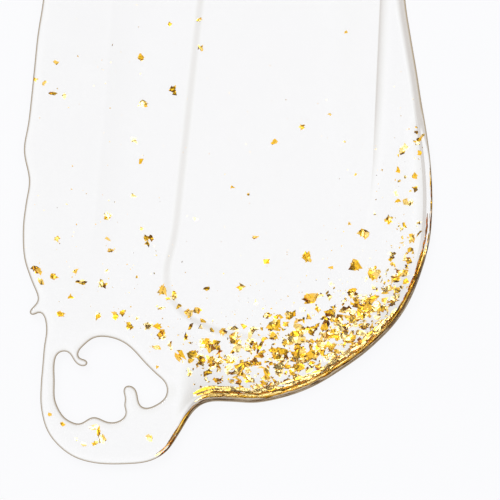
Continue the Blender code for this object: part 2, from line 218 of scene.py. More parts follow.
# Loose leaves: x, y, width, length
LOOSE_LEAVES_MM = {
    "gold": [
        (-24.0, 7.1, 0.6, 0.7), (-22.9, 6.7, 0.6, 0.7), (-7.2, 14.1, 0.6, 0.6), (-10.8, -2.9, 0.6, 0.7),
        (-14.7, -14.2, 1.0, 0.5), (0.6, -6.3, 0.6, 0.4), (2.6, -7.2, 0.4, 0.5), (-15.0, -12.8, 0.8, 0.6),
        (-10.8, -11.5, 0.5, 0.5), (14.7, 13.1, 0.5, 0.4), (12.7, 2.8, 0.6, 0.4), (14.6, -0.6, 0.4, 0.3),
        (16.0, -4.8, 0.4, 0.4), (24.2, 0.0, 0.7, 0.7), (23.7, -0.6, 1.1, 1.0), (23.9, -2.0, 0.6, 0.7),
        (21.3, -2.3, 0.3, 0.5), (21.2, -4.1, 0.6, 0.9), (21.4, -8.0, 0.9, 0.5), (15.2, -10.9, 0.5, 0.5),
        (3.4, -12.6, 1.0, 0.5), (5.0, -15.5, 0.9, 0.6), (12.9, -16.3, 0.7, 0.4), (20.6, -15.9, 0.7, 0.6),
        (23.9, -10.8, 0.4, 0.5), (-21.7, -17.5, 1.0, 0.9), (-19.7, -20.0, 0.8, 0.7), (-13.1, -22.0, 1.0, 0.8),
        (-12.3, -23.7, 1.1, 1.0), (-6.7, -20.0, 0.8, 1.0), (-7.5, -20.3, 0.8, 0.4), (-3.8, -21.8, 1.1, 0.9),
        (-3.1, -23.0, 0.8, 0.6), (-8.8, -23.7, 1.1, 1.0), (-8.9, -26.4, 1.4, 0.7), (-8.8, -28.7, 0.4, 0.5),
        (-0.6, -24.4, 1.2, 0.8), (1.1, -25.6, 1.3, 0.9), (-1.4, -26.3, 1.0, 1.0), (-2.0, -27.9, 0.8, 1.0),
        (1.1, -30.1, 1.2, 0.7), (5.7, -26.8, 1.3, 0.9), (5.7, -25.0, 1.3, 1.0), (4.4, -25.4, 0.9, 0.8),
        (7.4, -23.4, 1.0, 0.8), (8.5, -23.0, 0.5, 0.5), (2.0, -23.5, 0.9, 0.7), (7.5, -25.8, 1.4, 0.5),
        (7.4, -28.7, 1.3, 0.7), (8.6, -24.6, 1.6, 1.0), (15.9, -16.0, 1.4, 1.4), (17.7, -20.4, 1.7, 1.3),
        (16.0, -20.7, 1.3, 1.1), (22.1, -17.0, 1.1, 1.0), (22.2, -18.0, 0.8, 0.8), (19.7, -20.5, 0.9, 0.8),
        (19.1, -21.5, 1.5, 1.1), (11.4, -19.8, 1.3, 0.8), (11.2, -21.5, 0.8, 1.0), (13.2, -22.8, 1.2, 0.8),
        (17.2, -22.3, 1.0, 0.7), (9.6, -24.2, 1.2, 0.8), (10.4, -24.5, 1.1, 1.0), (12.1, -23.8, 1.1, 1.0),
        (10.2, -25.5, 1.0, 0.8), (17.1, -23.7, 1.2, 1.0), (15.6, -26.0, 1.3, 0.9), (19.1, -23.2, 1.1, 0.7),
        (-16.1, -36.8, 0.5, 1.5), (-16.6, -38.3, 1.0, 0.7), (-20.6, -35.9, 0.7, 0.6),
        (-22.2, -34.6, 0.5, 0.5), (-23.3, -18.0, 0.8, 0.9), (6.3, -22.4, 1.0, 0.9),
        (4.9, -22.3, 1.1, 1.0), (12.0, -26.3, 1.0, 0.7),
    ],
    "pale": [
        (-20.4, 5.1, 0.6, 0.9), (-11.8, -7.3, 0.8, 0.6), (-4.2, -10.2, 0.7, 0.5), (21.0, -7.0, 0.6, 0.8),
        (22.1, -5.1, 0.4, 0.5), (18.3, -9.5, 0.3, 0.6), (20.4, -14.7, 0.8, 0.7), (22.1, -15.2, 0.5, 0.9),
        (18.1, -16.5, 0.9, 0.4), (-18.2, -18.2, 1.5, 0.8), (-11.3, -22.7, 0.4, 0.5), (-8.3, -21.4, 1.1, 0.4),
        (-9.7, -23.6, 1.4, 1.3), (-7.2, -26.0, 0.7, 1.5), (-4.7, -29.5, 0.8, 1.1), (-15.1, -16.8, 0.5, 0.5),
        (3.6, -20.8, 0.5, 0.8), (-3.2, -26.3, 0.8, 0.8), (2.9, -25.6, 1.1, 1.0), (2.5, -26.4, 1.0, 1.2),
        (-1.1, -28.0, 1.4, 0.9), (-3.4, -27.7, 1.2, 1.3), (0.2, -29.2, 1.4, 1.4), (2.5, -29.2, 0.9, 1.0),
        (3.3, -24.0, 1.3, 0.5), (5.8, -23.3, 1.2, 1.3), (6.1, -27.6, 1.5, 1.0), (6.4, -29.5, 1.2, 1.6),
        (8.0, -29.3, 1.3, 1.3), (12.9, -18.4, 0.8, 0.6), (15.4, -19.7, 0.8, 1.2), (18.2, -18.8, 0.6, 0.7),
        (19.7, -19.4, 0.9, 0.5), (9.4, -21.7, 0.8, 0.5), (15.0, -21.8, 0.8, 0.9), (16.6, -22.5, 1.1, 0.6),
        (16.6, -24.5, 1.3, 1.0), (11.1, -26.2, 0.9, 0.9), (10.8, -26.8, 1.0, 0.7), (14.0, -26.9, 1.1, 0.7),
        (-16.7, -36.3, 1.0, 0.7), (-18.0, -38.4, 0.7, 0.6), (-19.0, -37.8, 0.4, 0.5), (13.7, -24.2, 0.9, 0.7),
        (18.6, -22.5, 0.9, 0.7), (20.9, -20.3, 0.8, 0.7),
    ],
    "dark": [
        (-21.8, 5.4, 1.0, 0.5), (23.5, 0.5, 0.5, 0.5), (23.3, -6.5, 0.8, 0.9), (-23.9, -16.5, 1.2, 1.1),
        (-2.4, -26.0, 0.5, 0.7), (-4.3, -27.3, 1.5, 1.2), (-1.2, -30.4, 1.3, 0.8), (0.4, -30.6, 1.0, 0.6),
        (1.5, -30.6, 0.9, 0.6), (2.6, -30.6, 1.0, 0.4), (3.1, -28.4, 1.6, 0.7), (7.7, -22.3, 1.3, 1.3),
        (3.9, -24.8, 0.4, 0.3), (8.5, -27.1, 1.3, 1.2), (14.9, -23.8, 1.0, 1.5), (11.1, -23.7, 1.2, 1.1),
        (12.9, -24.9, 1.3, 0.8), (9.6, -27.9, 0.9, 0.5), (6.9, -24.1, 0.8, 0.6), (-6.2, -21.3, 0.8, 0.7),
        (-5.2, -25.0, 0.4, 1.0), (21.3, -19.3, 0.8, 0.8), (17.9, -24.9, 0.9, 0.7), (11.5, -28.9, 1.4, 0.7),
        (13.8, -27.7, 1.4, 0.7),
    ],
}

# The stock of small leaves: how many, fewest creases, one over the most, how steep, and for which sizes
STOCK = {
    "speck": (24, 1, 3, 0.2, 0.3 * MM),
    "small": (40, 2, 5, 0.25, 0.7 * MM),
    "large": (60, 4, 9, 0.25, math.inf),
}
STOCK_NARROWEST = 0.35
SCATTER_SIZE_POWER = 1.2
SCATTER_SHARES_UP = (0.1, 0.95)

# Clusters of small leaves: x, y, spread along, spread across, turn in degrees, count, smallest, largest
CLUSTERS_MM = {
    "leaves_front": [
        (9.0, -26.5, 4.5, 1.7, 15, 150, 0.3, 2.6),
        (15.5, -22.5, 3.5, 1.7, 40, 125, 0.3, 2.4),
        (2.0, -28.0, 3.0, 1.6, 5, 105, 0.3, 2.6),
        (-4.5, -26.0, 2.0, 1.4, 0, 26, 0.2, 1.6),
        (20.5, -18.5, 2.0, 1.0, 60, 34, 0.2, 1.4),
    ],
    "leaves_bead": [
        (23.4, -1.0, 1.6, 0.4, 95, 10, 0.2, 0.6),
        (21.5, -9.0, 3.5, 1.4, 80, 16, 0.2, 0.6),
    ],
    "leaves_left": [
        (-17.0, -15.5, 4.0, 3.5, 0, 14, 0.15, 0.4),
        (-16.0, 5.0, 4.0, 6.0, 0, 12, 0.15, 0.4),
        (-10.5, -20.0, 2.5, 2.5, 0, 14, 0.15, 0.5),
    ],
    "specks": [
        (-15.0, -15.0, 5.0, 5.0, 0, 60, 0.08, 0.22),
        (-14.0, 5.0, 5.0, 8.0, 0, 40, 0.08, 0.2),
        (8.0, -21.0, 7.0, 3.0, 20, 150, 0.08, 0.26),
        (20.0, -8.0, 2.5, 7.0, -10, 60, 0.08, 0.22),
        (4.0, -5.0, 7.0, 9.0, 0, 50, 0.08, 0.2),
        (-3.0, -24.0, 5.0, 3.0, 0, 60, 0.08, 0.25),
    ],
}

# The camera, straight above: how wide it sees, and where its middle is beside the CAD box
VIEW_WIDTH = 62.5 * MM
VIEW_RIGHT = 2.8 * MM
VIEW_UP = 26.8 * MM
LENS_MM = 700.0
SENSOR_MM = 36.0
CLIP_START = 0.01

# Painted shade on the gel by its slope, in degrees: where it is steep its colour is darkened, for the rays
# that enter there and are lost in the rim
UPRIGHT = 90.0
GEL_STEEP_SHADE = (
    (0.0, (1.0, 1.0, 1.0)),
    (50.0, (1.0, 1.0, 1.0)),
    (57.0, (0.87, 0.81, 0.73)),
    (63.0, (0.62, 0.52, 0.39)),
    (74.0, (0.44, 0.35, 0.24)),
    (UPRIGHT, (0.45, 0.4, 0.33)),
)
# Painted shade on the gel by its depth: greyer where it is deep, made uneven by a faint cloud; the cloud also
# gives a faint waviness of the surface
GEL_DEEP_SHADE_DEPTHS = (1.68 * MM, 2.35 * MM)
GEL_DEEP_SHADE = (0.83, 0.822, 0.81, 1.0)
GEL_CLOUD = 7.0 * MM
GEL_CLOUD_DETAIL = 4.0
GEL_UNEVEN = 0.1 * MM
GEL_WAVES = 0.02 * MM
GEL_WAVE_STRENGTH = 0.15
# The leaf's colour, from the reddest gold to the palest: a random mottle plus the leaf's painted light level,
# paler for a painted highlight and redder for painted shade
GOLD_COLOURS = ((0.12, (0.95, 0.56, 0.02)), (0.5, (1.0, 0.57, 0.03)), (0.88, (1.0, 0.76, 0.3)))
GOLD_MOTTLE = 0.5
GOLD_CLOUD = 0.9 * MM
GOLD_CLOUD_DETAIL = 3.0
GOLD_ROUGHNESS = (0.1, 0.3)
GOLD_CRINKLE = 0.35 * MM
GOLD_CRINKLE_DEPTH = 0.1 * MM
GOLD_CRINKLE_STRENGTH = 0.25

# The studio's brightness as the camera sees it, and by height for all else: 0 the horizon, 1 straight up
WORLD_SEEN = 0.95
WORLD_LEVELS = ((0.0, 0.6), (0.2, 0.06), (0.58, 0.06), (0.72, 1.05), (0.95, 1.18), (0.985, 0.75), (1.0, 0.32))
# The large soft light: where it is, its glow, and the cosines of the angles between which it fades in
KEY_DIRECTION = (-0.3, 0.62, 0.72)
KEY_GLOW = 3.2
KEY_FADE = (0.89, 0.985)
# A small light for the glints
SPARK_POWER = 0.35
SPARK_SIZE = 0.12
SPARK_PLACE = (-0.30, 0.25, 0.40)
# The floor, just above the gel's flat base, and its own glow
FLOOR_SIZE = 3.0
FLOOR_LEVEL = 0.02 * MM
FLOOR_DIFFUSE = 0.06
FLOOR_GLOW = 0.923
FLOOR_SEEN = (0.982, 0.984, 1.0, 1.0)
# The floor's glow by the square root of one less the cosine of the angle off straight up
FLOOR_FALLOFF = (
    (0.0, (1.0, 1.0, 1.01)),
    (0.02, (1.0, 1.0, 1.01)),
    (0.037, (0.96, 0.96, 0.96)),
    (0.0617, (0.875, 0.865, 0.855)),
    (0.107, (0.74, 0.71, 0.685)),
    (0.16, (0.7, 0.665, 0.63)),
    (0.25, (0.82, 0.81, 0.80)),
    (0.32, (0.92, 0.92, 0.92)),
    (0.545, (0.92, 0.92, 0.92)),
    (0.575, (0.11, 0.06, 0.015)),
)

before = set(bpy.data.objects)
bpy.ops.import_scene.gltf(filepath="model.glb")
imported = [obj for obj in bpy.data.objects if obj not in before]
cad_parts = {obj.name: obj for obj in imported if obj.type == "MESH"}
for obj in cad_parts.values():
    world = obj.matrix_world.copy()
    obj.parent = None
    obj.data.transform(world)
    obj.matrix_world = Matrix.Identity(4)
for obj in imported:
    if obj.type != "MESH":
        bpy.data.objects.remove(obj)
cad_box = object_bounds()


def smoothstep(start, end, value):
    t = np.clip((value - start) / (end - start), 0.0, 1.0)
    return t * t * (3.0 - 2.0 * t)


def mix(a, b, share):
    return a + (b - a) * share


# --- the gel --------------------------------------------------------------------------


def base_loops():
    """The gel's outline and its window: the two longest loops at the base of the CAD solid."""
    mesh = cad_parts["gel_body"].data
    weld = {}
    places = []
    for v in mesh.vertices:
        key = tuple(round(c / WELD) for c in v.co)
        if key not in weld:
            weld[key] = len(places)
            places.append(v.co.copy())
    index = [weld[tuple(round(c / WELD) for c in v.co)] for v in mesh.vertices]
    edge_faces = {}
    for polygon in mesh.polygons:
        corners = [index[i] for i in polygon.vertices]
        level = all(abs(places[i].z) < LEVEL for i in corners)
        for a, b in zip(corners, corners[1:] + corners[:1]):
            edge_faces.setdefault(frozenset((a, b)), []).append(level)
    rim = [tuple(e) for e, flags in edge_faces.items() if len(flags) == 2 and flags[0] != flags[1]]
    links = {}
    for a, b in rim:
        links.setdefault(a, []).append(b)
        links.setdefault(b, []).append(a)
    loops = []
    left = set(links)
    while left:
        start = left.pop()
        loop = [start]
        here = links[start][0]
        while here in left:
            left.remove(here)
            loop.append(here)
            here = next((n for n in links[here] if n in left), start)
        loops.append([places[i].to_2d() for i in loop])
    loops.sort(key=lambda loop: sum((a - b).length for a, b in zip(loop, loop[1:] + loop[:1])), reverse=True)
    return loops[0], loops[1]


def anticlockwise(loop):
    area = sum(a.x * b.y - b.x * a.y for a, b in zip(loop, loop[1:] + loop[:1]))
    return loop if area > 0 else loop[::-1]


def smooth_loop(loop, step):
    """Evenly spaced points on a smooth curve through the loop's points."""
    dense = []
    for i in range(len(loop)):
        before, start, end, after = (loop[(i + k) % len(loop)] for k in (-1, 0, 1, 2))
        for k in range(LOOP_PARTS):
            t = k / LOOP_PARTS
            dense.append(
                0.5
                * (
                    2 * start
                    + (end - before) * t
                    + (2 * before - 5 * start + 4 * end - after) * t**2
                    + (3 * start - before - 3 * end + after) * t**3
                )
            )
    points = np.array(dense)
    closed = np.vstack([points, points[:1]])
    run = np.concatenate([[0.0], np.cumsum(np.linalg.norm(np.diff(closed, axis=0), axis=1))])
    count = round(run[-1] / step)
    at = np.linspace(0.0, run[-1], count, endpoint=False)
    even = np.stack([np.interp(at, run, closed[:, 0]), np.interp(at, run, closed[:, 1])], axis=1)
    for _ in range(LOOP_SMOOTHING):
        even = (np.roll(even, 1, axis=0) + 2 * even + np.roll(even, -1, axis=0)) / 4
    return [Vector(p) for p in even]


def rim_walls(loops):
    """Low upright walls along the rim, to measure distances to."""
    verts = []
    faces = []
    for loop in loops:
        first = len(verts)
        count = len(loop)
        verts += [Vector((p.x, p.y, z)) for p in loop for z in (-MM, MM)]
        for i in range(count):
            here, there = first + 2 * i, first + 2 * ((i + 1) % count)
            faces.append((here, there, there + 1, here + 1))
    return BVHTree.FromPolygons(verts, faces)


def inside_many(loop, x, y):
    """Which of many points lie inside a closed loop."""
    inside = np.zeros(len(x), dtype=bool)
    for a, b in zip(loop, loop[1:] + loop[:1]):
        if a.y == b.y:
            continue
        spans = (a.y > y) != (b.y > y)
        inside ^= spans & (x < a.x + (b.x - a.x) * (y - a.y) / (b.y - a.y))
    return inside


class Outline:
    """The gel's outline and window, and how far a point is from them."""

    def __init__(self):
        outline, window = (anticlockwise(loop) for loop in base_loops())
        self.loops = [smooth_loop(outline, RIM_STEP), smooth_loop(window, RIM_STEP)]
        self.walls = rim_walls(self.loops)
        steps = np.arange(-CHART_HALF, CHART_HALF, CHART_STEP)
        across, along = np.meshgrid(steps, steps)
        across, along = across.ravel(), along.ravel()
        side = np.where(self.holds(across, along), 1.0, -1.0)
        self.chart = (side * self.distance(across, along)).reshape(len(steps), -1)

    def distance(self, x, y):
        find = self.walls.find_nearest
        return np.array([find(Vector((px, py, 0.0)))[3] for px, py in zip(x, y)])

    def rough_distance(self, x, y):
        """How far inside the rim each point is, read off a chart: less than nothing outside the gel."""
        column = (np.clip(x, -CHART_HALF, CHART_HALF - 2 * CHART_STEP) + CHART_HALF) / CHART_STEP
        row = (np.clip(y, -CHART_HALF, CHART_HALF - 2 * CHART_STEP) + CHART_HALF) / CHART_STEP
        i, j = row.astype(int), column.astype(int)
        up, over = row - i, column - j
        low = mix(self.chart[i, j], self.chart[i, j + 1], over)
        high = mix(self.chart[i + 1, j], self.chart[i + 1, j + 1], over)
        return mix(low, high, up)

    def holds(self, x, y):
        return inside_many(self.loops[0], x, y) & ~inside_many(self.loops[1], x, y)


def lane_left(y):
    """Where the lane's left edge is."""
    below = np.minimum(y - LANE_LEFT_BEND_FROM, 0.0)
    return LANE_LEFT + LANE_LEAN * y - LANE_LEFT_BEND * below * below


def lane_right(y):
    """Where the fold on the lane's right is."""
    below = np.minimum(y - LANE_BEND_FROM, 0.0)
    return LANE_RIGHT + LANE_RIGHT_LEAN * y - LANE_BEND * below * below


def lane_end(x):
    """Where the lane's rounded end is."""
    across = x - LANE_END_X
    return LANE_END_Y + np.where(across > 0, LANE_END_BEND_RIGHT, LANE_END_BEND_LEFT) * across * across


def crest(distance, steep, gentle):
    """A low crest along a line: it falls off within `steep` beyond it and within `gentle` before it."""
    return np.exp(-((distance / np.where(distance > 0, steep, gentle)) ** 2))


def fold(distance, steep, gentle):
    """A fold along a line, sharp at its top: it falls away fast beyond it and slowly before it."""
    return np.where(distance > 0, np.exp(-distance / steep), np.exp(-((distance / gentle) ** 2)))


def fold_rise(x, y):
    """The fold on the right of the lane, which fades and widens towards the front."""
    lasting = smoothstep(*FOLD_FADE, y)
    return FOLD_HEIGHT * lasting * fold(x - lane_right(y), mix(*FOLD_STEEP, lasting), FOLD_GENTLE)


def gel_depth(x, y):
    """Depth of the gel away from its rim, with the step, the fold and the streak that the blade left."""
    left, right, end = lane_left(y) - x, x - lane_right(y), lane_end(x) - y
    band = mix(LEFT_DEPTH, BEAD_DEPTH, smoothstep(*BEAD_X, x))
    band = mix(band, FRONT_DEPTH, smoothstep(*FRONT_Y, y) * smoothstep(*FRONT_X, x))
    band = mix(band, LOBE_DEPTH, smoothstep(*LOBE_Y, y) * smoothstep(*LOBE_X, x))
    depth = mix(LANE_DEPTH, band, smoothstep(*LANE_RISE, np.maximum(np.maximum(left, right), end)))
    corner = np.maximum(STEP_BLEND - np.abs(left - end), 0.0)
    around = np.maximum(left, end) + corner * corner / (4 * STEP_BLEND)
    depth = depth + STEP_HEIGHT * smoothstep(0.0, STEP_WIDTH, around) * smoothstep(*STEP_FADE_X, x)
    depth = depth + fold_rise(x, y)
    streak = x - STREAK_X - STREAK_LEAN * y - STREAK_BEND * y * y
    return depth + STREAK_HEIGHT * crest(-streak, *STREAK_WIDTH) * smoothstep(*STREAK_FADE, y)


def gel_height(x, y, rim_distance):
    """The gel's surface: a rounded rim with a gentle shoulder, and at the front a steep wall and a ridge."""
    depth = gel_depth(x, y)
    wall = wall_share(x, y)
    share = mix(RIM_NARROW, RIM_WIDE, smoothstep(*RIM_WIDE_X, x) * smoothstep(*RIM_WIDE_Y, y))
    inward = 1.0 - np.minimum(rim_distance / (share * depth), 1.0)
    round_rim = np.sqrt(np.maximum(1.0 - inward**2, 0.0))
    inward = 1.0 - np.minimum(rim_distance / mix(*WALL_WIDTH, smoothstep(*WALL_WIDTH_Y, y)), 1.0)
    wall_rim = 1.0 - inward**WALL_POWER
    beside = smoothstep(*BEAD_STEPS_X, x) * smoothstep(*BEAD_STEPS_Y, y) * (1.0 - wall)
    past = np.maximum(rim_distance - mix(*SHOULDER_START, beside), 0.0) / mix(*SHOULDER_WIDTH, beside)
    shoulder = 1.0 - (1.0 - np.minimum(past, 1.0)) ** 2
    height = depth * mix(mix(round_rim, wall_rim, wall), shoulder, mix(*SHOULDER_SHARE, beside))
    ridge = np.exp(-(((rim_distance - RIDGE_AWAY) / RIDGE_WIDTH) ** 2))
    height = height + RIDGE_HEIGHT * wall * wall_rim * ridge
    for start in BEAD_STEPS:
        height = height + BEAD_STEP_HEIGHT * beside * smoothstep(start, start + BEAD_STEP_WIDTH, rim_distance)
    return height


def wall_share(x, y):
    """How much of the rim's shape is the front's steep wall."""
    return smoothstep(*WALL_X, x) * smoothstep(*WALL_FRONT_Y, y)


def by_fold(x, y):
    """Whether a point is in the band along the fold that has its own rows of points."""
    away = (x - lane_right(y)) / MM
    beside = (away > FOLD_ROWS_MM[0] - FOLD_CLEAR_MM) & (away < FOLD_ROWS_MM[-1] + FOLD_CLEAR_MM)
    return beside & (y > FOLD_FADE[0])


def fold_points(outline):
    """Rows of points along the fold."""
    along = np.arange(FOLD_FADE[0], max(p.y for p in outline.loops[0]), GRID_STEP)
    rows = [np.stack([lane_right(along) + away * MM, along], axis=1) for away in FOLD_ROWS_MM]
    points = np.vstack(rows)
    points = points[outline.holds(points[:, 0], points[:, 1])]
    return points[outline.distance(points[:, 0], points[:, 1]) > (RIM_RINGS_MM[-1] + GRID_CLEAR_MM) * MM]


def ring_points(outline):
    """Rings of points inside the rim. A point that is nearer to another stretch of the rim is left out."""
    points = []
    for loop, side in zip(outline.loops, (1.0, -1.0)):
        ahead = np.array(loop[1:] + loop[:1])
        behind = np.array(loop[-1:] + loop[:-1])
        along = ahead - behind
        along /= np.linalg.norm(along, axis=1)[:, None]
        normal = np.stack([-along[:, 1], along[:, 0]], axis=1) * side
        for width in RIM_RINGS_MM:
            place = np.array(loop) + normal * width * MM
            far = outline.distance(place[:, 0], place[:, 1]) > RING_SHARE * width * MM
            points.append(place[far & outline.holds(place[:, 0], place[:, 1])])
    return np.vstack(points)


def grid_points(outline):
    """A grid of triangles over what the rings and the fold's rows leave."""
    half_width = max(abs(p.x) for p in outline.loops[0])
    half_length = max(abs(p.y) for p in outline.loops[0])
    row_step = GRID_STEP * math.sin(math.radians(60))
    rows = np.arange(-half_length, half_length, row_step)
    columns = np.arange(-half_width, half_width, GRID_STEP)
    x, y = np.meshgrid(columns, rows)
    x[::2] += GRID_STEP / 2
    x, y = x.ravel(), y.ravel()
    keep = outline.holds(x, y) & ~by_fold(x, y)
    x, y = x[keep], y[keep]
    keep = outline.distance(x, y) > (RIM_RINGS_MM[-1] + GRID_CLEAR_MM) * MM
    return np.stack([x[keep], y[keep]], axis=1)


def filled(corners, edges, outline):
    """Triangles between the corners wherever there is gel."""
    faces = np.array(delaunay_2d_cdt(corners, edges, [], 1, CDT_EPSILON, False)[2])
    middles = np.array([tuple(p) for p in corners])[faces].mean(axis=1)
    return faces[outline.holds(middles[:, 0], middles[:, 1])]


def add_attribute(mesh, name, values):
    attribute = mesh.attributes.new(name, "FLOAT", "POINT")
    attribute.data.foreach_set("value", values.astype(np.float32))


def gel_surface(outline):
    """The gel's closed surface. Its depth, less the fold, and its slope go with it for the painted shade in
    the gel's colour.
    """
    rim = [p for loop in outline.loops for p in loop]
    inner = np.vstack([ring_points(outline), grid_points(outline), fold_points(outline)])
    corners = rim + [Vector(p) for p in inner]
    edges = []
    first = 0
    for loop in outline.loops:
        edges += [(first + i, first + (i + 1) % len(loop)) for i in range(len(loop))]
        first += len(loop)
    flat = np.array([tuple(p) for p in corners])
    heights = gel_height(flat[:, 0], flat[:, 1], outline.distance(flat[:, 0], flat[:, 1]))
    heights[: len(rim)] = 0.0
    verts = np.column_stack([flat, heights])
    faces = filled(corners, edges, outline).tolist() + filled(rim, edges, outline)[:, ::-1].tolist()
    mesh = bpy.data.meshes.new("gel_surface")
    mesh.from_pydata(verts.tolist(), [], faces)
    add_attribute(mesh, "depth", heights - fold_rise(flat[:, 0], flat[:, 1]))
    up = np.empty(len(verts) * 3, dtype=np.float32)
    mesh.vertex_normals.foreach_get("vector", up)
    add_attribute(mesh, "slope", np.degrees(np.arccos(np.clip(up[2::3], 0.0, 1.0))))
    mesh.validate()
    mesh.shade_smooth()
    mesh.set_sharp_from_angle(angle=SHARP_FROM)
    return mesh


def new_object(name, mesh):
    obj = bpy.data.objects.new(name, mesh)
    bpy.context.scene.collection.objects.link(obj)
    return obj


def crumpled_sheet(rng, width, length, creases, steepness):
    """A torn, creased piece of leaf, its middle at the origin: points and triangles."""
    count = rng.integers(*LEAF_CORNERS)
    turn = (np.arange(count) + rng.uniform(-LEAF_UNEVEN, LEAF_UNEVEN, count)) * math.tau / count
    reach = rng.uniform(*LEAF_REACH, count)
    reach[rng.integers(count)] = rng.uniform(*LEAF_TEAR)
    outline = np.stack([np.cos(turn) * reach * width / 2, np.sin(turn) * reach * length / 2], axis=1)
    sheet = bmesh.new()
    sheet.faces.new([sheet.verts.new((x, y, 0.0)) for x, y in outline])
    bmesh.ops.triangulate(sheet, faces=sheet.faces[:])
    size = math.hypot(width, length) / 2
    folds = []
    for _ in range(creases):
        heading = rng.uniform(0, math.tau)
        across = Vector((math.cos(heading), math.sin(heading), 0.0))
        shift = rng.uniform(-CREASE_SHIFT, CREASE_SHIFT) * size
        everything = sheet.verts[:] + sheet.edges[:] + sheet.faces[:]
        near = CUT_EPSILON * size
        bmesh.ops.bisect_plane(sheet, geom=everything, dist=near, plane_co=across * shift, plane_no=across)
        slope = rng.choice([-1, 1]) * rng.uniform(*CREASE_SLOPE) * steepness / math.sqrt(creases)
        folds.append((across, shift, slope))
    bmesh.ops.triangulate(sheet, faces=sheet.faces[:])
    for v in sheet.verts:
        v.co.z = sum(slope * abs(across.dot(v.co.xy.to_3d()) - shift) for across, shift, slope in folds)
    sheet.verts.index_update()
    points = np.array([v.co[:] for v in sheet.verts])
    faces = [[v.index for v in f.verts] for f in sheet.faces]
    rim = [[v.index for v in e.verts] for e in sheet.edges if e.is_boundary]
    sheet.free()
    points[:, 2] -= points[:, 2].mean()
    return points, faces, rim


def tilted(points, turn, lean, heading):
    """The sheet turned about +Z and then leant over."""
    axis = Vector((math.cos(heading), math.sin(heading), 0.0))
    spin = Matrix.Rotation(lean, 3, axis) @ Matrix.Rotation(turn, 3, "Z")
    return points @ np.array(spin).T


def sink(points, x, y, share, outline, nearest=LEAF_CLEARANCE):
    """Puts a leaf at x, y inside the gel, flattened where that is thin, or gives None where it won't fit."""
    placed = points + np.array([x, y, 0.0])
    away = outline.rough_distance(placed[:, 0], placed[:, 1])
    top = gel_height(placed[:, 0], placed[:, 1], np.maximum(away, 0.0))
    room = top.min() - 2 * LEAF_CLEARANCE
    if away.min() < nearest or room < LEAF_CLEARANCE:
        return None
    low, high = points[:, 2].min(), points[:, 2].max()
    squeeze = min(1.0, room / (high - low + LEAF_THICKNESS))
    tall = (high - low) * squeeze
    placed[:, 2] = (points[:, 2] - low) * squeeze + LEAF_CLEARANCE + (room - tall) * share
    return placed


class Leaves:
    """Many leaves gathered into one mesh."""

    def __init__(self):
        self.verts = []
        self.faces = []
        self.painted_light = []

    def add(self, placed, faces, rim, painted_light):
        first = len(self.verts)
        count = len(placed)
        half = np.array([0.0, 0.0, LEAF_THICKNESS / 2])
        self.verts += (placed + half).tolist() + (placed - half).tolist()
        self.painted_light += [painted_light] * (2 * count)
        for a, b, c in faces:
            self.faces.append((first + a, first + b, first + c))
            self.faces.append((first + count + c, first + count + b, first + count + a))
        ordered = {(a, b) for f in faces for a, b in zip(f, f[1:] + f[:1])}
        for a, b in rim:
            if (a, b) not in ordered:
                a, b = b, a
            self.faces.append((first + b, first + a, first + count + a, first + count + b))

    def finish(self, name, material):
        mesh = bpy.data.meshes.new(name)
        mesh.from_pydata(self.verts, [], self.faces)
        add_attribute(mesh, "painted_light", np.array(self.painted_light))
        mesh.validate()
        mesh.materials.append(material)
        piece = new_object(name, mesh)
        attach(piece, "root")
        return piece


def leaf_lean(rng, tone):
    """How far a leaf leans, and about which heading."""
    least, most, heading, aside = TONE_LEANS[tone]
    return rng.uniform(least, most), heading + rng.uniform(-aside, aside)


def leaf_creases(rng, tone):
    """How many creases a leaf has, and how steep its facets are."""
    fewest, past_most, steepness = TONE_CREASES[tone]
    return rng.integers(fewest, past_most), steepness


# Painted light: a leaf's level by its tone, high for a painted highlight on pale leaves, low for painted
# shade on dark ones, with a random spread
def leaf_painted_light(rng, tone):
    return TONE_PAINTED_LIGHT[tone] + rng.uniform(-PAINTED_LIGHT_SPREAD, PAINTED_LIGHT_SPREAD)


def place_leaf(leaves, rng, outline, tone, x, y, width, length):
    """A leaf that fills a box seen from above. A larger one is crumpled up of several overlapping sheets."""
    large = max(width, length) > CRUMPLED_FROM
    parts = rng.integers(*CRUMPLED_PARTS) if large else 1
    share = rng.uniform(*CRUMPLED_SHARE) if large else 1.0
    for part in range(parts):
        angle = (part + rng.uniform(0, CRUMPLED_UNEVEN)) * math.tau / parts
        offset = (1.0 - share) / 2
        kind = rng.choice(LEAF_TONES) if part > 1 else tone
        sheet, faces, rim = crumpled_sheet(rng, width, length, *leaf_creases(rng, kind))
        sheet[:, 0] *= share * width / np.ptp(sheet[:, 0])
        sheet[:, 1] *= share * length / np.ptp(sheet[:, 1])
        sheet = tilted(sheet, 0.0, *leaf_lean(rng, kind))
        aside = offset * width * math.cos(angle)
        along = offset * length * math.sin(angle)
        placed = sink(sheet, x + aside, y + along, rng.uniform(*PLACED_SHARES_UP), outline)
        if placed is not None:
            leaves.add(placed, faces, rim, leaf_painted_light(rng, kind))


def cad_leaves(outline, material):
    """A torn piece in place of each CAD leaf."""
    rng = np.random.default_rng(SEED)
    for name in sorted(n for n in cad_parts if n.startswith("leaf")):
        low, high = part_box(name)
        tone = next((t for t, names in NODE_TONES.items() if name in names), "gold")
        leaves = Leaves()
        middle_x, middle_y = (low[0] + high[0]) / 2, (low[1] + high[1]) / 2
        place_leaf(leaves, rng, outline, tone, middle_x, middle_y, high[0] - low[0], high[1] - low[1])
        piece = leaves.finish(name + "_torn", material)
        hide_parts(name)


def loose_leaves(outline, material):
    """The leaves too small for the CAD model that each have a place of their own."""
    rng = np.random.default_rng(SEED + 4)
    for tone, places in LOOSE_LEAVES_MM.items():
        leaves = Leaves()
        for x, y, width, length in places:
            place_leaf(leaves, rng, outline, tone, x * MM, y * MM, width * MM, length * MM)
        leaves.finish("leaves_loose_" + tone, material)


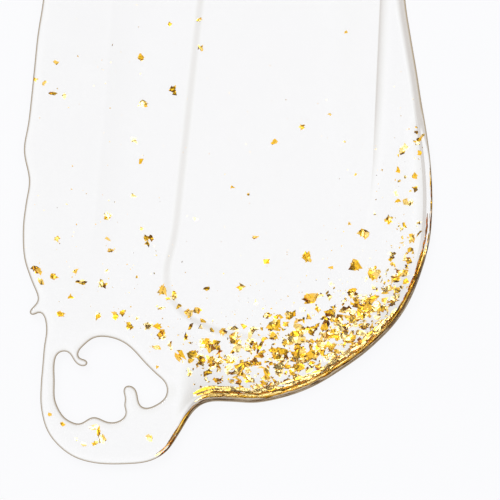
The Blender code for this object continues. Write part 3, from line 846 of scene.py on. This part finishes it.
class LeafStock:
    """A stock of creased sheets of unit size, from which the many small leaves are drawn."""

    def __init__(self, rng):
        self.rng = rng
        self.sheets = {}
        for kind, (count, fewest, past_most, steepness, _) in STOCK.items():
            self.sheets[kind] = [self.cut(rng.integers(fewest, past_most), steepness) for _ in range(count)]

    def cut(self, creases, steepness):
        return crumpled_sheet(self.rng, 1.0, self.rng.uniform(STOCK_NARROWEST, 1.0), creases, steepness)

    def draw(self, size):
        rng = self.rng
        kind = next(kind for kind, row in STOCK.items() if size < row[-1])
        points, faces, rim = self.sheets[kind][rng.integers(len(self.sheets[kind]))]
        flip = np.array([1.0, 1.0, rng.choice([-1.0, 1.0])])
        tone = rng.choice(LEAF_TONES, p=LEAF_TONE_SHARES)
        sheet = tilted(points * flip * size, rng.uniform(0, math.tau), *leaf_lean(rng, tone))
        return sheet, faces, rim, leaf_painted_light(rng, tone)


def scattered_leaves(outline, material, stock):
    """The clusters of small leaves and specks."""
    rng = np.random.default_rng(SEED + 1)
    for name, clusters in CLUSTERS_MM.items():
        leaves = Leaves()
        for x, y, spread_x, spread_y, turn, count, small, large in clusters:
            for _ in range(count):
                along, across = rng.normal(0, spread_x), rng.normal(0, spread_y)
                c, s = math.cos(math.radians(turn)), math.sin(math.radians(turn))
                px = (x + along * c - across * s) * MM
                py = (y + along * s + across * c) * MM
                size = small * (large / small) ** (rng.uniform() ** SCATTER_SIZE_POWER) * MM
                sheet, faces, rim, painted_light = stock.draw(size)
                placed = sink(sheet, px, py, rng.uniform(*SCATTER_SHARES_UP), outline)
                if placed is not None:
                    leaves.add(placed, faces, rim, painted_light)
        leaves.finish(name, material)


def rim_leaves(outline, material, stock):
    """The leaves that the blade pushed up against the front."""
    rng = np.random.default_rng(SEED + 2)
    leaves = Leaves()
    loop = outline.loops[0]
    count = len(loop)
    for i, here in enumerate(loop):
        ahead = loop[(i + 1) % count] - loop[i - 1]
        inward = Vector((-ahead.y, ahead.x)).normalized()
        start = smoothstep(RIM_FROM[0], RIM_FROM[1], np.array(here.x)) * smoothstep(
            RIM_UNTIL[0], RIM_UNTIL[1], np.array(here.y)
        )
        if rng.uniform() > start:
            continue
        place = here + inward * (RIM_AWAY + abs(rng.normal(0, RIM_PILE)))
        sheet, faces, rim, painted_light = stock.draw(rng.uniform(*RIM_SIZES) ** RIM_SIZE_POWER * MM)
        placed = sink(sheet, place.x, place.y, rng.uniform(*RIM_SHARES_UP), outline, RIM_BARE)
        if placed is not None:
            leaves.add(placed, faces, rim, painted_light)
    leaves.finish("leaves_front_rim", material)


def facing_up(slope, lean):
    """How far outwards a leaf leans under sloping gel. With no lean it mirrors what is above."""
    slope = math.atan(slope)
    within = math.asin(math.sin(slope) / GEL_IOR)
    critical = math.asin(1 / GEL_IOR)
    return slope - within + (lean * (1 - within / critical) if lean < 0 else lean)


def ribbon(rng, loop, start, length, away, width, lean, under):
    """A long thin leaf along the rim, pointed at both ends, twisting a little on its way."""
    count = max(3, round(length / (RIBBON_STEP * RIM_STEP)))
    low = np.empty((count, 3))
    high = np.empty((count, 3))
    for k in range(count):
        i = (start + k * RIBBON_STEP) % len(loop)
        ahead = loop[(i + 1) % len(loop)] - loop[i - 1]
        inward = Vector((-ahead.y, ahead.x)).normalized()
        half = width / 2 * math.sin(math.pi * (k + RIBBON_BLUNT) / (count - 1 + 2 * RIBBON_BLUNT))
        wander = away + rng.normal(0, RIBBON_WANDER)
        near, far = (loop[i] + inward * (wander + step) for step in (-SLOPE_STEP, SLOPE_STEP))
        rise = gel_height(np.array([near.x, far.x]), np.array([near.y, far.y]), wander + SLOPE_STEPS)
        slope = float(rise[1] - rise[0]) / (2 * SLOPE_STEP)
        twist = math.tan(min(facing_up(slope, lean) + rng.normal(0, RIBBON_TWIST), STEEPEST))
        for side, edge in ((-1, low), (1, high)):
            reach = wander + side * half
            place = loop[i] + inward * reach
            top = float(gel_height(np.array(place.x), np.array(place.y), np.array(reach)))
            middle = float(gel_height(np.array(place.x), np.array(place.y), np.array(wander)))
            z = min(middle - under + side * twist * half, top) - LEAF_CLEARANCE
            edge[k] = (place.x, place.y, max(z, LEAF_CLEARANCE))
    points = np.vstack([low, high])
    faces = []
    rim = [[0, count], [count - 1, 2 * count - 1]]
    for k in range(count - 1):
        faces.append([k, k + 1, count + k])
        faces.append([k + 1, count + k + 1, count + k])
        rim.append([k, k + 1])
        rim.append([count + k, count + k + 1])
    return points, faces, rim


def rim_ribbons(outline, material):
    """The ribbons of leaf along the front's rim."""
    rng = np.random.default_rng(SEED + 5)
    loop = outline.loops[0]
    origin = Vector(RIBBON_ORIGIN_MM) * MM
    first = min(range(len(loop)), key=lambda i: (loop[i] - origin).length)
    leaves = Leaves()
    for begin, finish, near, far, spread, per_mm, longest, widest, least, most, shallow, deep in RIBBONS_MM:
        for _ in range(round((finish - begin) * per_mm)):
            t = rng.uniform()
            start = first + round(mix(begin, finish, t) * MM / RIM_STEP)
            width = widest * rng.uniform(*RIBBON_WIDTHS)
            away = max(mix(near, far, t) + rng.normal(0, spread), RIBBON_RIM_MM + width / 2)
            length = longest * rng.uniform(*RIBBON_LENGTHS)
            lean = rng.uniform(least, most)
            # Painted light: a ribbon that leans less is painted paler, one that leans away is painted redder
            painted_light = rng.normal(RIBBON_PAINTED_LIGHT - lean, PAINTED_LIGHT_SPREAD)
            under = rng.uniform(shallow, deep)
            strip = ribbon(rng, loop, start, length * MM, away * MM, width * MM, lean, under * MM)
            leaves.add(*strip, painted_light)
    leaves.finish("leaves_front_ribbons", material)


# --- materials ------------------------------------------------------------------------


def new_material(name):
    material = bpy.data.materials.new(name)
    material.use_nodes = True
    material.node_tree.nodes.clear()
    return material, material.node_tree.nodes, material.node_tree.links


def fill_ramp(ramp, stops):
    """Gives a new colour ramp its stops: place and colour."""
    places = ramp.color_ramp.elements
    for place, _ in stops[1:-1]:
        places.new(place)
    for element, (place, colour) in zip(places, stops):
        element.position = place
        element.color = (*colour, 1.0)


def noise(nodes, links, size, detail):
    """Object coordinates and a noise in them with lumps of a given size."""
    where = nodes.new("ShaderNodeTexCoord")
    cloud = nodes.new("ShaderNodeTexNoise")
    cloud.inputs["Scale"].default_value = 1 / size
    cloud.inputs["Detail"].default_value = detail
    links.new(where.outputs["Object"], cloud.inputs["Vector"])
    return where, cloud


def attribute(nodes, name):
    node = nodes.new("ShaderNodeAttribute")
    node.attribute_name = name
    return node.outputs["Fac"]


def gel_material():
    """Clear gel with painted shade in its colour: a little greyer where it is deep and darker where it is
    steep, with a faint unevenness in the shade and its surface.
    """
    material, nodes, links = new_material("clear_gel")
    out = nodes.new("ShaderNodeOutputMaterial")
    glass = nodes.new("ShaderNodeBsdfGlass")
    glass.inputs["IOR"].default_value = GEL_IOR
    glass.inputs["Roughness"].default_value = 0.0
    _, cloud = noise(nodes, links, GEL_CLOUD, GEL_CLOUD_DETAIL)
    uneven = nodes.new("ShaderNodeMath")
    uneven.operation = "MULTIPLY_ADD"
    uneven.inputs[1].default_value = GEL_UNEVEN
    links.new(cloud.outputs["Fac"], uneven.inputs[0])
    links.new(attribute(nodes, "depth"), uneven.inputs[2])
    shade = nodes.new("ShaderNodeMapRange")
    shade.inputs["From Min"].default_value = GEL_DEEP_SHADE_DEPTHS[0]
    shade.inputs["From Max"].default_value = GEL_DEEP_SHADE_DEPTHS[1]
    links.new(uneven.outputs["Value"], shade.inputs["Value"])
    # Painted shade: greyer where the gel is deep
    deep_shade = nodes.new("ShaderNodeMix")
    deep_shade.data_type = "RGBA"
    deep_shade.inputs[6].default_value = (1.0, 1.0, 1.0, 1.0)
    deep_shade.inputs[7].default_value = GEL_DEEP_SHADE
    links.new(shade.outputs["Result"], deep_shade.inputs[0])
    # Painted shade: darker where the gel is steep
    upright = nodes.new("ShaderNodeMath")
    upright.operation = "DIVIDE"
    upright.inputs[1].default_value = UPRIGHT
    links.new(attribute(nodes, "slope"), upright.inputs[0])
    steep = nodes.new("ShaderNodeValToRGB")
    fill_ramp(steep, [(slope / UPRIGHT, colour) for slope, colour in GEL_STEEP_SHADE])
    links.new(upright.outputs["Value"], steep.inputs["Fac"])
    both = nodes.new("ShaderNodeMix")
    both.data_type = "RGBA"
    both.blend_type = "MULTIPLY"
    both.inputs[0].default_value = 1.0
    links.new(deep_shade.outputs[2], both.inputs[6])
    links.new(steep.outputs["Color"], both.inputs[7])
    links.new(both.outputs[2], glass.inputs["Color"])
    bump = nodes.new("ShaderNodeBump")
    bump.inputs["Strength"].default_value = GEL_WAVE_STRENGTH
    bump.inputs["Distance"].default_value = GEL_WAVES
    links.new(cloud.outputs["Fac"], bump.inputs["Height"])
    links.new(bump.outputs["Normal"], glass.inputs["Normal"])
    links.new(glass.outputs[0], out.inputs["Surface"])
    return material


def gold_material():
    """Gold leaf: bright metal, finely crinkled, with a random mottle of paler and redder gold, and painted
    light in its colour: paler for a leaf that leans to mirror the light, redder for one that looks away.
    """
    material, nodes, links = new_material("gold_leaf")
    out = nodes.new("ShaderNodeOutputMaterial")
    shader = nodes.new("ShaderNodeBsdfPrincipled")
    shader.inputs["Metallic"].default_value = 1.0
    where, cloud = noise(nodes, links, GOLD_CLOUD, GOLD_CLOUD_DETAIL)
    # Painted light: the leaf's painted light level, mottled at random, picks the gold from reddest to palest
    mottle = nodes.new("ShaderNodeMath")
    mottle.operation = "MULTIPLY_ADD"
    mottle.inputs[1].default_value = GOLD_MOTTLE
    links.new(cloud.outputs["Fac"], mottle.inputs[0])
    links.new(attribute(nodes, "painted_light"), mottle.inputs[2])
    tone = nodes.new("ShaderNodeValToRGB")
    fill_ramp(tone, [(place + GOLD_MOTTLE / 2, colour) for place, colour in GOLD_COLOURS])
    links.new(mottle.outputs["Value"], tone.inputs["Fac"])
    links.new(tone.outputs["Color"], shader.inputs["Base Color"])
    gloss = nodes.new("ShaderNodeMapRange")
    gloss.inputs["To Min"].default_value = GOLD_ROUGHNESS[0]
    gloss.inputs["To Max"].default_value = GOLD_ROUGHNESS[1]
    links.new(cloud.outputs["Fac"], gloss.inputs["Value"])
    links.new(gloss.outputs["Result"], shader.inputs["Roughness"])
    crinkle = nodes.new("ShaderNodeTexVoronoi")
    crinkle.inputs["Scale"].default_value = 1 / GOLD_CRINKLE
    links.new(where.outputs["Object"], crinkle.inputs["Vector"])
    bump = nodes.new("ShaderNodeBump")
    bump.inputs["Strength"].default_value = GOLD_CRINKLE_STRENGTH
    bump.inputs["Distance"].default_value = GOLD_CRINKLE_DEPTH
    links.new(crinkle.outputs["Distance"], bump.inputs["Height"])
    links.new(bump.outputs["Normal"], shader.inputs["Normal"])
    links.new(shader.outputs[0], out.inputs["Surface"])
    return material


def floor_material():
    """A pale floor that also glows, straight up more than aside, so that steep gel looks dark on it."""
    material, nodes, links = new_material("pale_floor")
    out = nodes.new("ShaderNodeOutputMaterial")
    matt = nodes.new("ShaderNodeBsdfDiffuse")
    matt.inputs["Color"].default_value = (FLOOR_DIFFUSE, FLOOR_DIFFUSE, FLOOR_DIFFUSE, 1)
    angle = nodes.new("ShaderNodeLayerWeight")
    angle.inputs["Blend"].default_value = 0.5
    root = nodes.new("ShaderNodeMath")
    root.operation = "SQRT"
    links.new(angle.outputs["Facing"], root.inputs[0])
    ramp = nodes.new("ShaderNodeValToRGB")
    fill_ramp(ramp, FLOOR_FALLOFF)
    links.new(root.outputs[0], ramp.inputs["Fac"])
    path = nodes.new("ShaderNodeLightPath")
    pick = nodes.new("ShaderNodeMix")
    pick.data_type = "RGBA"
    pick.inputs[7].default_value = FLOOR_SEEN
    links.new(path.outputs["Is Camera Ray"], pick.inputs[0])
    links.new(ramp.outputs["Color"], pick.inputs[6])
    glow = nodes.new("ShaderNodeEmission")
    glow.inputs["Strength"].default_value = FLOOR_GLOW
    links.new(pick.outputs[2], glow.inputs["Color"])
    both = nodes.new("ShaderNodeAddShader")
    links.new(matt.outputs[0], both.inputs[0])
    links.new(glow.outputs[0], both.inputs[1])
    links.new(both.outputs[0], out.inputs["Surface"])
    return material


# --- the stage ------------------------------------------------------------------------


def make_stage():
    bpy.ops.mesh.primitive_plane_add(size=FLOOR_SIZE, location=(0, 0, FLOOR_LEVEL))
    floor = bpy.context.object
    floor.name = "floor"
    floor.data.materials.append(floor_material())


def spark_light():
    data = bpy.data.lights.new("spark", "AREA")
    data.size = SPARK_SIZE
    data.energy = SPARK_POWER
    light = bpy.data.objects.new("spark", data)
    light.location = SPARK_PLACE
    light.rotation_euler = (-Vector(SPARK_PLACE)).to_track_quat("-Z", "Y").to_euler()
    bpy.context.scene.collection.objects.link(light)


def make_lights():
    """A studio bright above and dark round its foot, with one large soft light in it and a small one."""
    world = bpy.data.worlds.new("studio")
    world.use_nodes = True
    nodes, links = world.node_tree.nodes, world.node_tree.links
    back = nodes["Background"]
    where = nodes.new("ShaderNodeTexCoord")
    split = nodes.new("ShaderNodeSeparateXYZ")
    links.new(where.outputs["Generated"], split.inputs[0])
    rise = nodes.new("ShaderNodeFloatCurve")
    curve = rise.mapping.curves[0]
    for point, (height, level) in zip(curve.points, (WORLD_LEVELS[0], WORLD_LEVELS[-1])):
        point.location = (height, level)
    for height, level in WORLD_LEVELS[1:-1]:
        curve.points.new(height, level)
    for point in curve.points:
        point.handle_type = "VECTOR"
    rise.mapping.update()
    links.new(split.outputs["Z"], rise.inputs["Value"])
    towards = nodes.new("ShaderNodeVectorMath")
    towards.operation = "DOT_PRODUCT"
    towards.inputs[1].default_value = Vector(KEY_DIRECTION).normalized()
    links.new(where.outputs["Generated"], towards.inputs[0])
    key = nodes.new("ShaderNodeMapRange")
    key.interpolation_type = "SMOOTHSTEP"
    key.inputs["From Min"].default_value = KEY_FADE[0]
    key.inputs["From Max"].default_value = KEY_FADE[1]
    key.inputs["To Max"].default_value = KEY_GLOW
    links.new(towards.outputs["Value"], key.inputs["Value"])
    total = nodes.new("ShaderNodeMath")
    links.new(rise.outputs["Value"], total.inputs[0])
    links.new(key.outputs["Result"], total.inputs[1])
    path = nodes.new("ShaderNodeLightPath")
    pick = nodes.new("ShaderNodeMix")
    pick.inputs["B"].default_value = WORLD_SEEN
    links.new(path.outputs["Is Camera Ray"], pick.inputs["Factor"])
    links.new(total.outputs["Value"], pick.inputs["A"])
    links.new(pick.outputs["Result"], back.inputs["Strength"])
    back.inputs["Color"].default_value = (1.0, 1.0, 1.0, 1.0)
    bpy.context.scene.world = world
    spark_light()


def make_camera():
    low, high = cad_box
    data = bpy.data.cameras.new("camera")
    data.lens = LENS_MM
    data.sensor_width = SENSOR_MM
    data.clip_start = CLIP_START
    camera = bpy.data.objects.new("camera", data)
    away = VIEW_WIDTH * LENS_MM / SENSOR_MM
    camera.location = ((low[0] + high[0]) / 2 + VIEW_RIGHT, low[1] + VIEW_UP, away)
    bpy.context.scene.collection.objects.link(camera)
    bpy.context.scene.camera = camera


def main():
    outline = Outline()
    gel = new_object("gel_surface", gel_surface(outline))
    gel.data.materials.append(gel_material())
    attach(gel, "root")
    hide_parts("gel_body")
    gold = gold_material()
    cad_leaves(outline, gold)
    loose_leaves(outline, gold)
    stock = LeafStock(np.random.default_rng(SEED + 3))
    scattered_leaves(outline, gold, stock)
    rim_leaves(outline, gold, stock)
    rim_ribbons(outline, gold)
    make_stage()
    make_lights()
    make_camera()
    bpy.context.scene.view_settings.view_transform = "Standard"


main()
